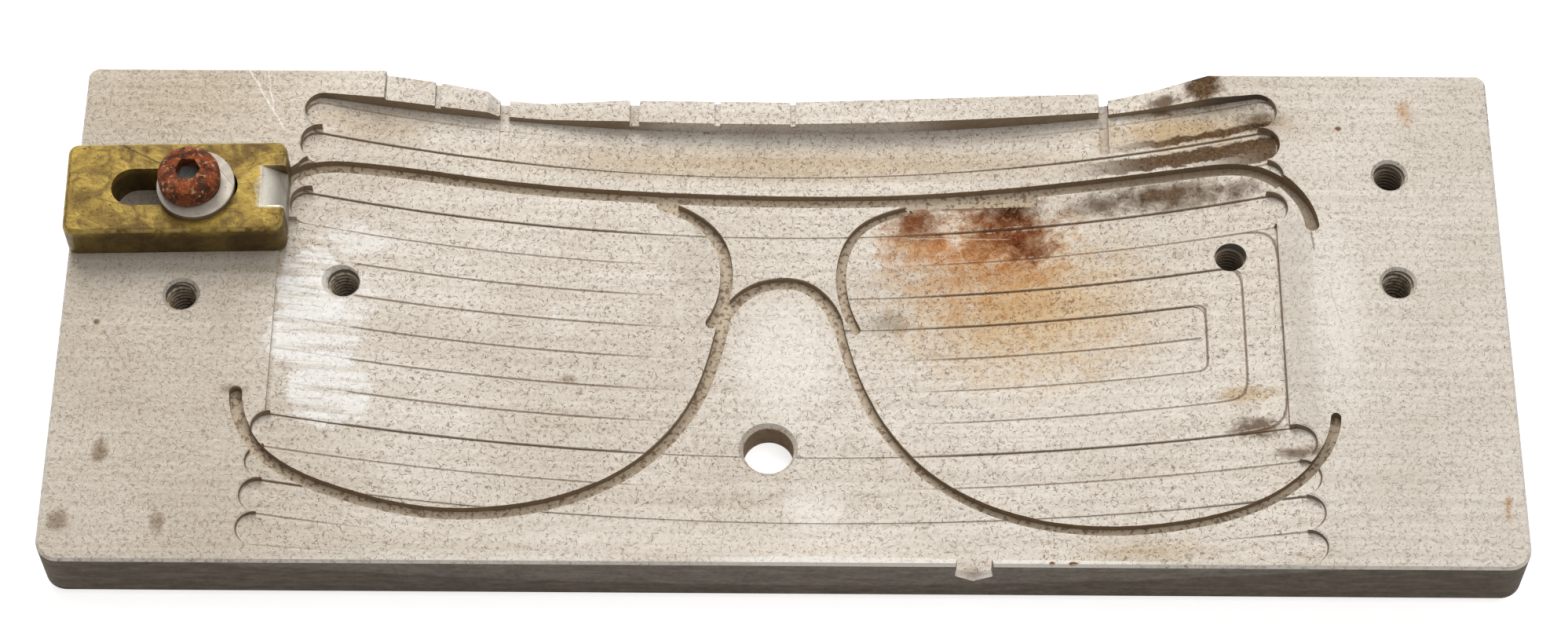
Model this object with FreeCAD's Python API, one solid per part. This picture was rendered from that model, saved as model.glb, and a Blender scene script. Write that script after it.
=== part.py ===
# Milled aluminium jig plate for brazing a wire spectacle front.
# A rectangular plate carries a shallow curved bed, left by stepped cutter passes, with narrow
# grooves that hold the wires. A slotted brass bar on a washer and a socket screw clamps the
# left end of the top wire.
# Millimetres, +Z up. The origin is the centre of the plate's underside.
# +X runs along the plate and +Y points to the back edge, where the lowered ridge stands.

import FreeCAD
import Part
import math
import os

Vec = FreeCAD.Vector
UP = Vec(0, 0, 1)

# Plate
plate_length = 190.0
plate_depth = 74.4
plate_thickness = 10.0
front_corner_radius = 3.0
back_corner_radius = 1.5
end_underside_chamfer = 1.44
edge_break = 0.35

# Bed: one cylinder about a line along Y, deepest on the plate's centre line
bed_depth = 5.5
bed_half_chord = 70.0
bed_end_depth = 0.35

# Cutter passes across the bed: edges counted from the back, evenly spaced at each end
pass_count = 14
pass_pitch_left = 4.88
pass_pitch_right = 5.07
first_pass_left_y = 33.6
first_pass_right_y = 34.4
back_pass_bow = 5.4
front_pass_bow = 2.4
bed_front_bow = 0.3
ridge_foot_bow = 3.4
pass_step = 0.13
deep_passes = [1, 3, 10, 12]
deep_pass_inset = 0.35
field_first_pass = 4
field_last_pass = 10

# Ends of the passes at the two sides
left_tip_back_x = -65.2
left_tip_front_x = -69.8
right_tip_back_x = 66.4
right_tip_front_x = 69.3
tip_slant_start_y = 28.6
tip_slant_end_y = -28.6
field_end_x = 65.4
left_field_end_x = -67.2

# Stepped loops that the cutter left inside the right half of the field, between pairs of passes
loop_step = 0.13
loop_corner_radius = 1.8
outer_loop_passes = (5, 9)
outer_loop_right_x = 60.6
outer_loop_back_left_x = 7.7
outer_loop_front_left_x = 12.6
inner_loop_passes = (6, 8)
inner_loop_right_x = 55.5
inner_loop_back_left_x = 7.4
inner_loop_front_left_x = 10.3

# Ridge left standing along the back edge: where its top is and how far it was taken down
ridge_drop = [
    (-54.6, 0.0),
    (-54.4, 0.6),
    (-48.2, 1.2),
    (-40.7, 2.1),
    (-39.4, 2.9),
    (-33.0, 3.3),
    (-22.0, 2.9),
    (0.0, 3.0),
    (42.4, 2.0),
    (42.8, 2.8),
    (49.0, 1.9),
    (58.2, 0.0),
]
ridge_front_y = 26.5
ridge_back_cut_ratio = 1.03
ridge_notch_width = 1.3
ridge_notch_depth = 1.2
ridge_notch_x = [-38.4, -20.7, 43.2]
ridge_nick_width = 0.8
ridge_nick_depth = 0.6
ridge_nick_x = [-47.4, -9.4, 0.9]

# Grooves for the wires
groove_depth = 1.4
groove_depth_step = 0.03
brow_groove_width = 1.9
left_rim_groove_width = 1.7
right_rim_groove_width = 1.35
nose_groove_width = 1.8
brow_line = [
    (-67.2, 18.2),
    (-65.2, 21.2),
    (-58.0, 22.6),
    (-38.3, 21.1),
    (-12.0, 20.0),
    (19.0, 20.0),
    (40.2, 21.5),
    (56.0, 22.9),
    (62.5, 22.6),
    (66.7, 20.0),
    (69.2, 16.6),
    (70.1, 13.4),
]
left_upper_rim_line = [(-16.6, 18.9), (-12.0, 16.7), (-9.0, 13.4), (-7.9, 9.5), (-8.2, 4.6), (-9.7, 0.9)]
left_lower_rim_line = [
    (-8.0, 1.4),
    (-8.7, -2.0),
    (-11.4, -10.8),
    (-18.4, -20.1),
    (-28.4, -25.9),
    (-38.0, -28.1),
    (-47.2, -28.3),
    (-56.5, -26.5),
    (-64.4, -23.5),
    (-68.8, -19.8),
    (-70.7, -15.8),
    (-71.2, -12.8),
]
right_upper_rim_line = [
    (16.6, 18.3),
    (13.0, 17.2),
    (10.4, 15.6),
    (8.5, 13.0),
    (7.6, 9.8),
    (7.9, 4.0),
    (9.4, 0.0),
]
right_lower_rim_line = [
    (7.0, 1.2),
    (8.2, -3.9),
    (10.0, -9.2),
    (16.1, -19.3),
    (25.6, -26.5),
    (38.8, -30.1),
    (51.9, -29.8),
    (64.9, -25.5),
    (69.6, -20.8),
    (71.4, -15.6),
]
nose_line = [(-8.4, 0.9), (-6.7, 3.8), (-4.0, 6.1), (-0.8, 7.0), (2.4, 6.6), (4.8, 4.8), (6.9, 0.9)]
brow_relief_left_x = 16.2
brow_relief_right_x = 33.9
brow_relief_front_y = 18.5
brow_relief_depth = 1.0

# Holes
tapped_hole_radius = 2.1
tapped_hole_chamfer = 0.4
left_plate_hole = (-79.5, 1.7)
right_back_hole = (80.9, 21.1)
right_front_hole = (80.9, 4.5)
left_bed_hole = (-58.5, 4.9)
right_bed_hole = (59.2, 9.4)
centre_hole = (-2.0, -17.9)
centre_hole_radius = 3.3
centre_hole_chamfer = 0.55
edge_hole_x = 24.3
edge_hole_radius = 2.4
edge_hole_depth = 3.0
drill_tip_angle = 118.0

# Clamp screw, with its thread at full diameter
screw_x = -78.5
screw_y = 15.0
screw_shank_radius = 2.5
screw_length = 16.0
screw_tip_chamfer = 0.5
screw_head_radius = 4.1
screw_head_height = 3.4
screw_head_wear = 1.5
screw_head_foot_wear = 0.8
socket_flats = 3.0
socket_depth = 2.0
screw_hole_clearance = 0.05

# Washer, resting against one side of the screw's shank
washer_radius = 5.15
washer_thickness = 1.0
washer_hole_clearance = 0.8
washer_shift_x = 0.65
washer_shift_y = -0.2
washer_edge_radius = 0.2

# Clamp bar, measured from the screw's axis before it is turned
bar_left = -16.7
bar_right = 12.3
bar_width = 13.7
bar_height = 5.5
bar_skew_angle = 1.3
bar_corner_radius = 1.4
bar_edge_radius = 0.6
slot_clearance = 0.3
slot_left = -10.6
slot_right = 6.1
nose_recess_start = 9.2
nose_recess_width = 6.2
nose_recess_floor = 1.6

# Worked out once
half_length = plate_length / 2
half_depth = plate_depth / 2
bed_radius = (bed_half_chord**2 + (bed_depth - bed_end_depth) ** 2) / (2 * (bed_depth - bed_end_depth))
cut_margin = 2.0
tolerance = 0.01
bar_top = plate_thickness + bar_height
head_seat = bar_top + washer_thickness


def prism(face, low, high):
    """Return a flat face at z = 0 stretched from one height to another."""
    solid = face.extrude(UP * (high - low))
    solid.translate(UP * low)
    return solid


def above_bed(extra_depth):
    """Return the space above the bed's cylinder, sunk further by extra_depth."""
    centre_height = plate_thickness - bed_depth - extra_depth + bed_radius
    start = Vec(0, -plate_depth, centre_height)
    return Part.makeCylinder(bed_radius, 2 * plate_depth, start, Vec(0, 1, 0))


def bed_height(x):
    """Return the bed's height over the underside at a place along the plate."""
    rise = bed_radius - math.sqrt(bed_radius**2 - x**2)
    return min(plate_thickness, plate_thickness - bed_depth + rise)


def pass_edge_ends(number):
    """Return the heights in plan of a pass edge at the left and at the right."""
    return (
        first_pass_left_y - pass_pitch_left * number,
        first_pass_right_y - pass_pitch_right * number,
    )


def pass_edge_bow(number):
    """Return how far a pass edge bends to the front on the centre line."""
    if number == 0:
        return ridge_foot_bow
    if number == pass_count:
        return bed_front_bow
    share = (number - 1) / (pass_count - 1)
    return back_pass_bow + (front_pass_bow - back_pass_bow) * share


def edge_point(number, x):
    """Return the plan point of a pass edge at a place along the plate."""
    left_y, right_y = pass_edge_ends(number)
    share = (x + bed_half_chord) / (2 * bed_half_chord)
    bow = pass_edge_bow(number) * (1 - (x / bed_half_chord) ** 2)
    return Vec(x, left_y + (right_y - left_y) * share - bow, 0)


def tip_x(back_x, front_x, y):
    """Return where a pass ends at one side, for its place across the plate."""
    share = (tip_slant_start_y - y) / (tip_slant_start_y - tip_slant_end_y)
    return back_x + (front_x - back_x) * min(1.0, max(0.0, share))


def side_runs(order, back_x, front_x, end_x, outward):
    """Return the scalloped side of the bed as arcs, one round end for each pass in the order given."""
    curves = []
    corner = None
    for number in order:
        is_field = field_first_pass <= number < field_last_pass
        top_y = edge_point(number, end_x).y
        low_y = edge_point(number + 1, end_x).y
        radius = (top_y - low_y) / 2
        x = tip_x(back_x, front_x, (top_y + low_y) / 2)
        if is_field:
            x = end_x
            radius = 0
        start_y, end_y = (top_y, low_y) if outward > 0 else (low_y, top_y)
        start = Vec(x - outward * radius, start_y, 0)
        end = Vec(x - outward * radius, end_y, 0)
        if corner is not None and (corner - start).Length > 0.001:
            curves.append(Part.LineSegment(corner, start))
        if is_field:
            curves.append(Part.LineSegment(start, end))
        else:
            curves.append(Part.Arc(start, Vec(x, (start_y + end_y) / 2, 0), end))
        corner = end
    return curves


def bed_tool():
    """Return the solid that all the cutter passes take out together."""
    passes = list(range(pass_count))
    right = side_runs(passes, right_tip_back_x, right_tip_front_x, field_end_x, 1)
    left = side_runs(passes[::-1], left_tip_back_x, left_tip_front_x, left_field_end_x, -1)
    back = Part.Arc(left[-1].EndPoint, edge_point(0, 0), right[0].StartPoint)
    front = Part.Arc(right[-1].EndPoint, edge_point(pass_count, 0), left[0].StartPoint)
    curves = [back] + right + [front] + left
    wire = Part.Wire([curve.toShape() for curve in curves])
    return prism(Part.Face(wire), 0, plate_thickness + cut_margin).common(above_bed(0))


def deep_pass_tool(first, last, extra_depth):
    """Return the solid of one pass that went a little deeper than its neighbours."""
    middle_y = (edge_point(first, 0).y + edge_point(last, 0).y) / 2
    half_width = (edge_point(first, 0).y - edge_point(last, 0).y) / 2
    start = tip_x(left_tip_back_x, left_tip_front_x, middle_y) + deep_pass_inset + half_width
    end = tip_x(right_tip_back_x, right_tip_front_x, middle_y) - deep_pass_inset - half_width
    top = Part.Arc(edge_point(first, start), edge_point(first, 0), edge_point(first, end))
    low = Part.Arc(edge_point(last, end), edge_point(last, 0), edge_point(last, start))
    right_out = (top.EndPoint + low.StartPoint) / 2 + Vec(half_width, 0, 0)
    left_out = (top.StartPoint + low.EndPoint) / 2 - Vec(half_width, 0, 0)
    right_side = Part.Arc(top.EndPoint, right_out, low.StartPoint)
    left_side = Part.Arc(low.EndPoint, left_out, top.StartPoint)
    wire = Part.Wire([curve.toShape() for curve in (top, right_side, low, left_side)])
    return prism(Part.Face(wire), 0, plate_thickness + cut_margin).common(above_bed(extra_depth))


def deep_pass_tools():
    """Return every second pass, none of them side by side."""
    return [deep_pass_tool(number, number + 1, pass_step) for number in deep_passes]


def loop_tool(passes, left_places, right_x, extra_depth):
    """Return one stepped loop between two pass edges in the right half of the field."""
    first, last = passes
    back_left_x, front_left_x = left_places
    middle_x = (back_left_x + right_x) / 2
    back = Part.Arc(edge_point(first, back_left_x), edge_point(first, middle_x), edge_point(first, right_x))
    front = Part.Arc(edge_point(last, right_x), edge_point(last, middle_x), edge_point(last, front_left_x))
    right_side = Part.LineSegment(back.EndPoint, front.StartPoint)
    left_side = Part.LineSegment(front.EndPoint, back.StartPoint)
    wire = Part.Wire([back.toShape(), right_side.toShape(), front.toShape(), left_side.toShape()])
    block = prism(Part.Face(wire), 0, plate_thickness + cut_margin)
    corners = [edge for edge in uprights(block) if edge.BoundBox.XMin > right_x - tolerance]
    block = block.makeFillet(loop_corner_radius, corners)
    return block.common(above_bed(extra_depth))


def ribbon_face(points, width):
    """Return the plan of a groove: a band of one width along a smooth line, round at its ends."""
    line = Part.BSplineCurve()
    line.interpolate([Vec(x, y, 0) for x, y in points])
    stations = 3 * len(points)
    first, last = line.FirstParameter, line.LastParameter
    left_points = []
    right_points = []
    for number in range(stations + 1):
        parameter = first + (last - first) * number / stations
        along = line.tangent(parameter)[0]
        across = Vec(-along.y, along.x, 0) * (width / 2)
        left_points.append(line.value(parameter) + across)
        right_points.append(line.value(parameter) - across)
    left_edge = Part.BSplineCurve()
    left_edge.interpolate(left_points)
    right_edge = Part.BSplineCurve()
    right_edge.interpolate(right_points)
    start_out = line.value(first) - line.tangent(first)[0] * (width / 2)
    end_out = line.value(last) + line.tangent(last)[0] * (width / 2)
    start_cap = Part.Arc(right_points[0], start_out, left_points[0])
    end_cap = Part.Arc(left_points[-1], end_out, right_points[-1])
    curves = [left_edge, end_cap, right_edge, start_cap]
    return Part.Face(Part.Wire(Part.__sortEdges__([curve.toShape() for curve in curves])))


def groove_tools():
    """Return the solids that cut the wire grooves, each to one depth under the bed."""
    lines = [
        (brow_line, brow_groove_width),
        (left_upper_rim_line, left_rim_groove_width),
        (left_lower_rim_line, left_rim_groove_width),
        (right_upper_rim_line, right_rim_groove_width),
        (right_lower_rim_line, right_rim_groove_width),
        (nose_line, nose_groove_width),
    ]
    tools = []
    for number, (points, width) in enumerate(lines):
        block = prism(ribbon_face(points, width), 0, plate_thickness + cut_margin)
        tools.append(block.common(above_bed(groove_depth - number * groove_depth_step)))
    relief_depth = brow_line[5][1] - brow_relief_front_y
    relief = Part.makeBox(
        brow_relief_right_x - brow_relief_left_x,
        relief_depth,
        plate_thickness,
        Vec(brow_relief_left_x, brow_relief_front_y, cut_margin / 2),
    )
    tools.append(relief.common(above_bed(brow_relief_depth)))
    return tools


def ridge_tools():
    """Return the solids that take the ridge down from above and from behind."""
    outline = [Vec(x, 0, plate_thickness - drop) for x, drop in ridge_drop]
    ceiling = plate_thickness + cut_margin
    outline += [Vec(ridge_drop[-1][0], 0, ceiling), Vec(ridge_drop[0][0], 0, ceiling), outline[0]]
    top = Part.Face(Part.makePolygon(outline))
    top.translate(Vec(0, ridge_front_y, 0))
    from_above = top.extrude(Vec(0, half_depth - ridge_front_y + cut_margin, 0))
    plan = [Vec(x, half_depth - drop * ridge_back_cut_ratio, 0) for x, drop in ridge_drop]
    outside = half_depth + cut_margin
    plan += [Vec(ridge_drop[-1][0], outside, 0), Vec(ridge_drop[0][0], outside, 0), plan[0]]
    from_behind = prism(Part.Face(Part.makePolygon(plan)), -cut_margin, ceiling)
    return [from_above, from_behind]


def ridge_top(x):
    """Return the height of the ridge's top at a place along the plate."""
    for (x0, drop0), (x1, drop1) in zip(ridge_drop, ridge_drop[1:]):
        if x0 <= x <= x1:
            return plate_thickness - drop0 - (drop1 - drop0) * (x - x0) / (x1 - x0)
    return plate_thickness


def notch_tools():
    """Return the saw notches and the small nicks across the ridge."""
    cuts = [(x, ridge_notch_width, ridge_notch_depth) for x in ridge_notch_x]
    cuts += [(x, ridge_nick_width, ridge_nick_depth) for x in ridge_nick_x]
    reach = half_depth - ridge_front_y + cut_margin
    tools = []
    for x, width, depth in cuts:
        floor = ridge_top(x) - depth
        corner = Vec(x - width / 2, ridge_front_y, floor)
        tools.append(Part.makeBox(width, reach, plate_thickness, corner))
    return tools


def hole_tool(place, radius, chamfer, mouth_height):
    """Return a through hole with a chamfered mouth at the given height."""
    x, y = place
    bore = Part.makeCylinder(radius, mouth_height + 2 * cut_margin, Vec(x, y, -cut_margin), UP)
    if chamfer == 0:
        return bore
    start = Vec(x, y, mouth_height - chamfer)
    reach = chamfer + cut_margin
    return bore.fuse(Part.makeCone(radius, radius + reach, reach, start, UP))


def hole_tools():
    """Return every drilled and tapped hole of the plate."""
    top = plate_thickness
    tools = [
        hole_tool(left_plate_hole, tapped_hole_radius, tapped_hole_chamfer, top),
        hole_tool(right_back_hole, tapped_hole_radius, tapped_hole_chamfer, top),
        hole_tool(right_front_hole, tapped_hole_radius, tapped_hole_chamfer, top),
        hole_tool(left_bed_hole, tapped_hole_radius, tapped_hole_chamfer, bed_height(left_bed_hole[0])),
        hole_tool(right_bed_hole, tapped_hole_radius, 0, bed_height(right_bed_hole[0])),
        hole_tool(centre_hole, centre_hole_radius, centre_hole_chamfer, bed_height(centre_hole[0])),
        hole_tool((screw_x, screw_y), screw_shank_radius + screw_hole_clearance, 0, top),
    ]
    edge_place = Vec(edge_hole_x, -half_depth, plate_thickness - edge_hole_depth)
    drill_tip = edge_hole_radius / math.tan(math.radians(drill_tip_angle / 2))
    pocket = Part.makeCylinder(edge_hole_radius, edge_hole_depth + cut_margin, edge_place, UP)
    tip = Part.makeCone(0, edge_hole_radius, drill_tip, edge_place - UP * drill_tip, UP)
    return tools + [pocket.fuse(tip)]


def uprights(shape):
    """Return the straight edges of a shape that stand along Z."""
    return [edge for edge in shape.Edges if edge.BoundBox.XLength + edge.BoundBox.YLength < tolerance]


def plate_blank():
    """Return the sawn and deburred plate before any milling."""
    blank = Part.makeBox(plate_length, plate_depth, plate_thickness, Vec(-half_length, -half_depth, 0))
    front = [edge for edge in uprights(blank) if edge.BoundBox.YMax < 0]
    blank = blank.makeFillet(front_corner_radius, front)
    back = [edge for edge in uprights(blank) if edge.BoundBox.YMin > half_depth - tolerance]
    blank = blank.makeFillet(back_corner_radius, back)
    underside_ends = [
        edge
        for edge in blank.Edges
        if edge.BoundBox.ZMax < tolerance
        and abs(edge.BoundBox.XMin) > half_length - front_corner_radius - tolerance
        and edge.BoundBox.XLength < front_corner_radius + tolerance
    ]
    blank = blank.makeChamfer(end_underside_chamfer, underside_ends)
    rim = [edge for edge in blank.Edges if edge.BoundBox.ZMin > plate_thickness - tolerance]
    return blank.makeChamfer(edge_break, rim)


def base_plate():
    """Return the finished plate."""
    plate = plate_blank()
    plate = plate.cut(bed_tool())
    for tool in deep_pass_tools():
        plate = plate.cut(tool)
    outer_left = (outer_loop_back_left_x, outer_loop_front_left_x)
    plate = plate.cut(loop_tool(outer_loop_passes, outer_left, outer_loop_right_x, loop_step))
    inner_left = (inner_loop_back_left_x, inner_loop_front_left_x)
    plate = plate.cut(loop_tool(inner_loop_passes, inner_left, inner_loop_right_x, 2 * loop_step))
    plate = plate.cut(ridge_tools())
    plate = plate.cut(notch_tools())
    plate = plate.cut(groove_tools())
    return plate.cut(hole_tools())


def turned_to_place(shape):
    """Return a shape moved from the screw's own axis to its place on the plate."""
    shape.rotate(Vec(0, 0, 0), UP, bar_skew_angle)
    shape.translate(Vec(screw_x, screw_y, 0))
    return shape


def clamp_bar():
    """Return the brass bar with its slot and the worn slope at its nose."""
    half_width = bar_width / 2
    corner = Vec(bar_left, -half_width, plate_thickness)
    bar = Part.makeBox(bar_right - bar_left, bar_width, bar_height, corner)
    bar = bar.makeFillet(bar_corner_radius, uprights(bar))
    rim = [edge for edge in bar.Edges if edge.BoundBox.ZMin > bar_top - tolerance]
    bar = bar.makeFillet(bar_edge_radius, rim)
    slot_half_width = screw_shank_radius + slot_clearance
    start = Vec(slot_left + slot_half_width, 0, plate_thickness - cut_margin)
    reach = bar_height + 2 * cut_margin
    length = slot_right - slot_left - 2 * slot_half_width
    slot = Part.makeBox(length, 2 * slot_half_width, reach, start - Vec(0, slot_half_width, 0))
    slot = slot.fuse(Part.makeCylinder(slot_half_width, reach, start, UP))
    slot = slot.fuse(Part.makeCylinder(slot_half_width, reach, start + Vec(length, 0, 0), UP))
    side = Part.makePolygon(
        [
            Vec(nose_recess_start, 0, bar_top),
            Vec(bar_right + cut_margin, 0, plate_thickness + nose_recess_floor),
            Vec(bar_right + cut_margin, 0, bar_top + cut_margin),
            Vec(nose_recess_start, 0, bar_top + cut_margin),
            Vec(nose_recess_start, 0, bar_top),
        ]
    )
    recess = Part.Face(side).extrude(Vec(0, nose_recess_width, 0))
    recess.translate(Vec(0, -nose_recess_width / 2, 0))
    return turned_to_place(bar.cut([slot, recess]))


def clamp_washer():
    """Return the plain washer under the screw's head."""
    hole_radius = screw_shank_radius + washer_hole_clearance
    disc = Part.makeCylinder(washer_radius, washer_thickness, Vec(0, 0, bar_top), UP)
    rims = [edge for edge in disc.Edges if edge.BoundBox.ZLength < tolerance]
    disc = disc.makeFillet(washer_edge_radius, rims)
    start = Vec(0, 0, bar_top - cut_margin)
    hole = Part.makeCylinder(hole_radius, washer_thickness + 2 * cut_margin, start, UP)
    washer = disc.cut(hole)
    washer.translate(Vec(washer_shift_x, washer_shift_y, 0))
    return turned_to_place(washer)


def clamp_screw():
    """Return the socket screw, its head edge worn round."""
    head = Part.makeCylinder(screw_head_radius, screw_head_height, Vec(0, 0, head_seat), UP)
    head_top = head_seat + screw_head_height
    crown = [edge for edge in head.Edges if edge.BoundBox.ZMin > head_top - tolerance]
    head = head.makeFillet(screw_head_wear, crown)
    foot = [edge for edge in head.Edges if edge.BoundBox.ZMax < head_seat + tolerance]
    head = head.makeFillet(screw_head_foot_wear, foot)
    shank = Part.makeCylinder(screw_shank_radius, screw_length, Vec(0, 0, head_seat - screw_length), UP)
    tip = [edge for edge in shank.Edges if edge.BoundBox.ZMax < head_seat - screw_length + tolerance]
    shank = shank.makeChamfer(screw_tip_chamfer, tip)
    corner_radius = socket_flats / math.sqrt(3)
    floor = head_top - socket_depth
    corners = []
    for number in range(7):
        angle = math.radians(60 * number)
        corners.append(Vec(corner_radius * math.cos(angle), corner_radius * math.sin(angle), 0))
    socket = prism(Part.Face(Part.makePolygon(corners)), floor, head_top + cut_margin)
    return turned_to_place(head.fuse(shank).removeSplitter().cut(socket))


def write(node, shape):
    """Check that a piece is one sound solid and write it as its own node."""
    solids = shape.Solids
    print(node, "solids", len(solids), "valid", shape.isValid(), "volume", round(shape.Volume, 1))
    shape = solids[0] if len(solids) == 1 else shape
    shape.exportStep("parts/" + node + ".step")


os.makedirs("parts", exist_ok=True)
write("base_plate", base_plate())
write("clamp_bar", clamp_bar())
write("clamp_washer", clamp_washer())
write("clamp_screw", clamp_screw())
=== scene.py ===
"""Looks of a milled brazing jig plate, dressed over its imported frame. Lengths are in metres."""

import logging
import math
from dataclasses import dataclass, field
from enum import Enum
from functools import partialmethod, reduce

import bpy
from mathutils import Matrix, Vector


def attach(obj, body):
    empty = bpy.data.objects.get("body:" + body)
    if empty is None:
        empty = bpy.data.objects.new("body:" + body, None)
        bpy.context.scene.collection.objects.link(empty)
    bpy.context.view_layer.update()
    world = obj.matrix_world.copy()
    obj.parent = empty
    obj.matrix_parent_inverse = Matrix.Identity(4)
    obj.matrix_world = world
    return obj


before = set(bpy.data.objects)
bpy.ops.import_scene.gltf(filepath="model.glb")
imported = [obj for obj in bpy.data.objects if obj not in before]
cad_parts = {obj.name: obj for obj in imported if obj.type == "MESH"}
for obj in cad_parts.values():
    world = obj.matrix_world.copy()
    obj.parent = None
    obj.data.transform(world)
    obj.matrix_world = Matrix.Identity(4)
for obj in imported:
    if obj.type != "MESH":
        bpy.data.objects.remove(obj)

log = logging.getLogger("jig")
logging.basicConfig(level=logging.INFO, format="%(message)s")

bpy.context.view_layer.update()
MM = 0.001
Material = bpy.types.Material
Node = bpy.types.Node
Socket = bpy.types.NodeSocket
Tree = bpy.types.NodeTree
Colour = tuple[float, float, float]


class Side(Enum):
    """Which end of a tapped hole is open to the cutter."""

    PLATE_TOP = "plate_top"
    BED = "bed"


class Graph:
    """Short calls that add shader nodes to one tree."""

    def __init__(self, tree: Tree) -> None:
        """Keep the tree.

        Args:
            tree: The node tree that gets the nodes.
        """
        self.tree = tree

    def node(self, kind: str, **settings: object) -> Node:
        """Add one node.

        Args:
            kind: The node's type name.
            settings: Properties set on the node.

        Returns:
            The new node.
        """
        made = self.tree.nodes.new(kind)
        for name, value in settings.items():
            setattr(made, name, value)
        return made

    def feed(self, socket: Socket, value: object) -> None:
        """Link a socket to another, or set its plain value."""
        if isinstance(value, Socket):
            self.tree.links.new(value, socket)
        elif socket.type == "RGBA" and len(value) == 3:
            socket.default_value = (*value, 1.0)
        else:
            socket.default_value = value

    def fill(self, made: Node, **values: object) -> Node:
        """Feed a node's inputs by name, with spaces written as underscores, and return the node."""
        for name, value in values.items():
            self.feed(made.inputs[name.replace("_", " ")], value)
        return made

    def find(self, kind: str) -> Node:
        """Return the tree's first node of a type."""
        return next(node for node in self.tree.nodes if node.type == kind)

    def axes(self, vector: Socket) -> tuple[Socket, Socket, Socket]:
        """Return a vector's X, Y and Z."""
        return tuple(self.fill(self.node("ShaderNodeSeparateXYZ"), Vector=vector).outputs)

    def math(self, operation: str, first: object, second: object = 0.0, clamp: bool = False) -> Socket:
        """Add a sum of one or two values.

        Args:
            operation: The Math node's operation.
            first: The first value or socket.
            second: The second value or socket.
            clamp: Whether the result stays between 0 and 1.

        Returns:
            The result's socket.
        """
        made = self.node("ShaderNodeMath", operation=operation, use_clamp=clamp)
        self.feed(made.inputs[0], first)
        self.feed(made.inputs[1], second)
        return made.outputs[0]

    times = partialmethod(math, "MULTIPLY")
    plus = partialmethod(math, "ADD")
    minus = partialmethod(math, "SUBTRACT")
    over = partialmethod(math, "DIVIDE")
    most = partialmethod(math, "MAXIMUM")
    absolute = partialmethod(math, "ABSOLUTE")

    def rest(self, share: object, clamp: bool = False) -> Socket:
        """Return what a share leaves of one."""
        return self.minus(1.0, share, clamp)

    def ramp(self, value: object, low: float, high: float, start: float = 0.0, end: float = 1.0) -> Socket:
        """Map a value smoothly from one span to another.

        Args:
            value: The value or socket.
            low: Where the result is start.
            high: Where the result is end.
            start: The result at and below low.
            end: The result at and above high.

        Returns:
            The result's socket.
        """
        made = self.node("ShaderNodeMapRange", interpolation_type="SMOOTHSTEP")
        self.fill(made, Value=value, From_Min=low, From_Max=high, To_Min=start, To_Max=end)
        return made.outputs["Result"]

    def between(self, value: Socket, low: float, high: float, soft: float) -> Socket:
        """Return where a value lies between two limits, with soft ends inside them."""
        return self.times(self.ramp(value, low, low + soft), self.ramp(value, high, high - soft))

    def mix(self, share: object, first: object, second: object, blend: str = "MIX") -> Socket:
        """Mix two colours.

        Args:
            share: How much of the second colour shows.
            first: The colour underneath.
            second: The colour on top.
            blend: The Mix node's blend type.

        Returns:
            The mixed colour's socket.
        """
        made = self.node("ShaderNodeMix", data_type="RGBA", blend_type=blend, clamp_factor=True)
        self.feed(made.inputs[0], share)
        self.feed(made.inputs[6], first)
        self.feed(made.inputs[7], second)
        return made.outputs[2]

    def cover(self, colour: object, top: object, *shares: object) -> Socket:
        """Put a colour over another, as strongly as its shares multiplied."""
        return self.mix(reduce(self.times, shares), colour, top)

    def stretch(self, vector: Socket, scale: Colour, turn: float = 0.0) -> Socket:
        """Turn a vector about Z, in radians, and scale it."""
        made = self.fill(self.node("ShaderNodeMapping"), Vector=vector, Rotation=(0.0, 0.0, turn),
                         Scale=scale)
        return made.outputs["Vector"]

    def noise(self, vector: Socket, scale: object, detail: float = 2.0, roughness: float = 0.5,
              twist: float = 0.0) -> Socket:
        """Add a noise texture.

        Args:
            vector: Where the noise is read, in millimetres.
            scale: Bumps to a millimetre, or a socket for them.
            detail: Octaves of finer noise.
            roughness: How strong the finer octaves are.
            twist: Distortion of the pattern.

        Returns:
            The noise value's socket.
        """
        made = self.node("ShaderNodeTexNoise")
        self.fill(made, Vector=vector, Scale=scale, Detail=detail, Roughness=roughness, Distortion=twist)
        return made.outputs["Fac"]

    def use(self, group: Tree, **values: object) -> Node:
        """Place a node group and feed its inputs."""
        return self.fill(self.node("ShaderNodeGroup", node_tree=group), **values)

    def mask(self, group: Tree, **values: object) -> Socket:
        """Place a node group that gives one mask."""
        return self.use(group, **values).outputs["Mask"]


def new_group(name: str, *inputs: str, outputs: tuple[str, ...] = ("Mask",)) -> tuple:
    """Start a shader node group with named sockets.

    Args:
        name: The group's name.
        inputs: Each input's name. Position and Normal are vectors and the others are numbers.
        outputs: Each output's name. All are numbers.

    Returns:
        The group, its graph, and its sockets for what comes in and what goes out.
    """
    tree = bpy.data.node_groups.new(name, "ShaderNodeTree")
    for label in inputs:
        kind = "NodeSocketVector" if label in ("Position", "Normal") else "NodeSocketFloat"
        tree.interface.new_socket(label, in_out="INPUT", socket_type=kind)
    for label in outputs:
        tree.interface.new_socket(label, in_out="OUTPUT", socket_type="NodeSocketFloat")
    graph = Graph(tree)
    return tree, graph, graph.node("NodeGroupInput").outputs, graph.node("NodeGroupOutput").inputs


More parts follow.
